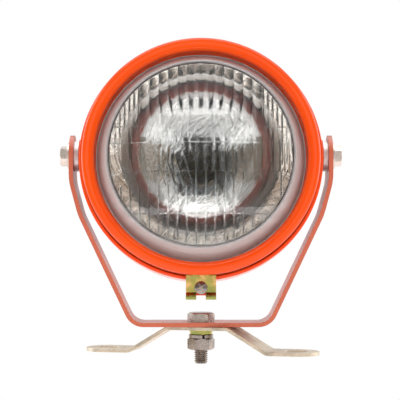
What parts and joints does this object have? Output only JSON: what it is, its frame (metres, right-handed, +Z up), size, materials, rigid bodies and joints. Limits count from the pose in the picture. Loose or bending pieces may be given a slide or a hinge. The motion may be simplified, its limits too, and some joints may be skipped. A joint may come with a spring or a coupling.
{
  "type": "tractor work light",
  "caption": "Round work light with a deep rim and a fluted glass lens; it tips in a painted yoke that swivels on a slotted mounting strap.",
  "frame": {"origin": "middle of the two foot slots, on the underside of the strap's feet", "axes": "+Z up, the strap along X; the lamp faces -Y, swivelled 13 degrees towards +X and tipped 6 degrees upwards"},
  "size_m": [0.1998, 0.1205, 0.2325],
  "materials": {
    "zinc_strap": "dull zinc plate with a warm tint",
    "bright_zinc": "bright zinc plate",
    "yellow_zinc": "zinc plate passivated yellow, with green and copper tints",
    "orange_paint": "gloss stove enamel",
    "lens_glass": "clear pressed glass with flutes inside",
    "reflector_silver": "vacuum metallised mirror",
    "seal_rubber": "matt black rubber",
    "brown_insulator": "brown phenolic moulding",
    "contact_brass": "bright brass",
    "bulb_glass": "clear thin glass",
    "filament_metal": "dark tungsten",
    "pale_spacer": "satin"
  },
  "bodies": {
    "strap": {"mount_strap": "zinc_strap", "swivel_bolt": "bright_zinc", "swivel_seat": "yellow_zinc", "swivel_spring_washer": "bright_zinc", "swivel_nut": "bright_zinc"},
    "yoke": {"yoke": "orange_paint"},
    "head": {"rim_clip": "yellow_zinc", "rim_screw": "bright_zinc", "rim_nut": "bright_zinc", "bulb_holder": "bright_zinc", "housing": "orange_paint", "rim": "orange_paint", "lens": "lens_glass", "lens_seal": "seal_rubber", "body_seal": "seal_rubber", "cable_grommet": "seal_rubber", "reflector": "reflector_silver", "holder_insulator": "brown_insulator", "live_contact": "contact_brass", "earth_terminal": "contact_brass", "bulb_cap": "contact_brass", "bulb_glass": "bulb_glass", "bulb_stem": "bulb_glass", "bulb_filament": "filament_metal", "pivot_bolt_left": "bright_zinc", "pivot_bolt_right": "bright_zinc", "pivot_washer_left": "bright_zinc", "pivot_washer_right": "bright_zinc", "pivot_nut_left": "bright_zinc", "pivot_nut_right": "bright_zinc", "pivot_spacer_left": "pale_spacer", "pivot_spacer_right": "pale_spacer"}
  },
  "joints": [
    {"name": "yoke_swivel", "type": "hinge", "parent": "strap", "child": "yoke", "pos_m": [0, 0, 0.0223], "axis": [0, 0, 1], "continuous": true},
    {"name": "head_tilt", "type": "hinge", "parent": "yoke", "child": "head", "pos_m": [0, 0, 0.141], "axis": [0.9744, 0.225, 0], "range_deg": [-84, 96]}
  ]
}
